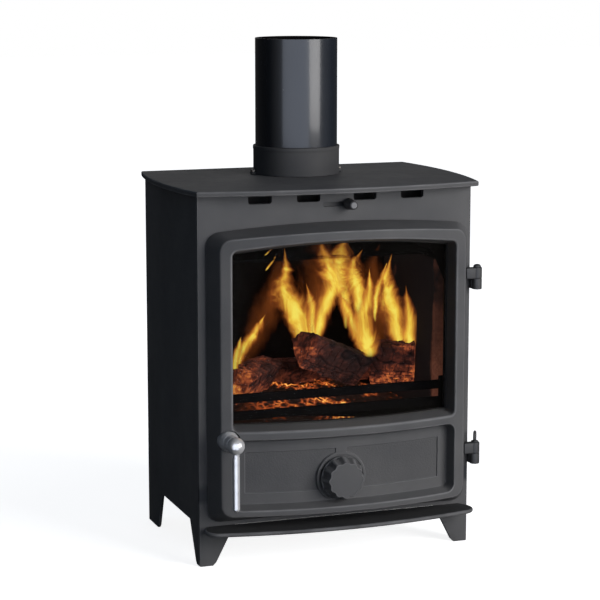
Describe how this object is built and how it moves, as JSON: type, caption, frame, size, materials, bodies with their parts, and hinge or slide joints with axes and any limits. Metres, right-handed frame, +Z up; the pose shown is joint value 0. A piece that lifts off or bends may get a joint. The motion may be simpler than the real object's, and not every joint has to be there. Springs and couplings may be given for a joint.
{
  "type": "wood-burning stove",
  "caption": "Box-shaped steel wood-burning stove on four legs with a bowed glazed door, ash lip, spin air wheel, drop handle and a top flue pipe.",
  "frame": {"origin": "on the floor under the middle of the stove's outer box", "axes": "+X to the viewer's right, facing the door; -Y towards the viewer, out of the door; +Z up, along the flue pipe"},
  "size_m": [0.474, 0.363, 0.772],
  "materials": {
    "heat_paint": "matte",
    "flue_enamel": "gloss",
    "chrome": "polished",
    "cast_iron": "matte",
    "steel": "satin",
    "fire_brick": "matte",
    "charred_wood": "matte",
    "embers": "matte",
    "rope_seal": "matte",
    "glass": "gloss"
  },
  "bodies": {
    "stove_body": {"top_plate": "heat_paint", "flue_collar": "heat_paint", "flue_pipe": "flue_enamel", "collar_bolt_left": "steel", "collar_bolt_right": "steel", "front_plate": "heat_paint", "side_panel_left": "heat_paint", "side_panel_right": "heat_paint", "rear_panel": "heat_paint", "base_plate": "heat_paint", "ash_lip": "heat_paint", "hearth_plate": "cast_iron", "grate": "cast_iron", "fire_fence": "cast_iron", "brick_left": "fire_brick", "brick_right": "fire_brick", "brick_rear": "fire_brick", "baffle_plate": "cast_iron", "ember_bed": "embers", "log_left": "charred_wood", "log_middle": "charred_wood", "log_right": "charred_wood", "log_rear": "charred_wood", "hinge_lug_upper": "heat_paint", "hinge_lug_lower": "heat_paint", "hinge_pin_upper": "heat_paint", "hinge_pin_lower": "heat_paint", "airwash_duct": "cast_iron", "airwash_clip_left": "steel", "airwash_clip_right": "steel"},
    "door": {"door_frame": "heat_paint", "door_glass": "glass", "glass_gasket": "rope_seal", "glass_clamp": "cast_iron", "glass_screw_1": "steel", "glass_screw_2": "steel", "glass_screw_3": "steel", "glass_screw_4": "steel", "door_rope": "rope_seal", "wheel_nut": "steel"},
    "handle": {"handle_hub": "chrome", "handle_ball": "chrome", "handle_rod": "chrome", "latch_cam": "steel", "latch_nut": "steel"},
    "air_disc": {"air_disc": "heat_paint", "wheel_stud": "steel"},
    "spin_wheel": {"spin_wheel": "heat_paint"},
    "airwash_slider": {"airwash_plate": "steel", "airwash_knob": "heat_paint"},
    "ash_pan": {"ash_pan": "steel", "ash_pan_grip": "steel"}
  },
  "joints": [
    {"name": "door_hinge", "type": "hinge", "parent": "stove_body", "child": "door", "pos_m": [0.224, -0.1135, 0.28], "axis": [0, 0, 1], "range_deg": [0, 115]},
    {"name": "handle_turn", "type": "hinge", "parent": "door", "child": "handle", "pos_m": [-0.179, -0.1045, 0.196], "axis": [0, 1, 0], "range_deg": [0, 90]},
    {"name": "air_disc_slide", "type": "slide", "parent": "door", "child": "air_disc", "axis": [0, -1, 0], "range_m": [0, 0.0035]},
    {"name": "spin_wheel_turn", "type": "hinge", "parent": "air_disc", "child": "spin_wheel", "pos_m": [-0.007, -0.1045, 0.13], "axis": [0, -1, 0], "range_deg": [0, 720]},
    {"name": "airwash_slide", "type": "slide", "parent": "stove_body", "child": "airwash_slider", "axis": [-1, 0, 0], "range_m": [0, 0.036]},
    {"name": "ash_pan_slide", "type": "slide", "parent": "stove_body", "child": "ash_pan", "axis": [0, -1, 0], "range_m": [0, 0.115]}
  ],
  "couplings": [
    {"joint": "air_disc_slide", "follows": "spin_wheel_turn", "m_per_rad": 0.00027852},
    {"joint": "ash_pan_slide", "follows": "door_hinge", "m_per_rad": 0.057296}
  ]
}
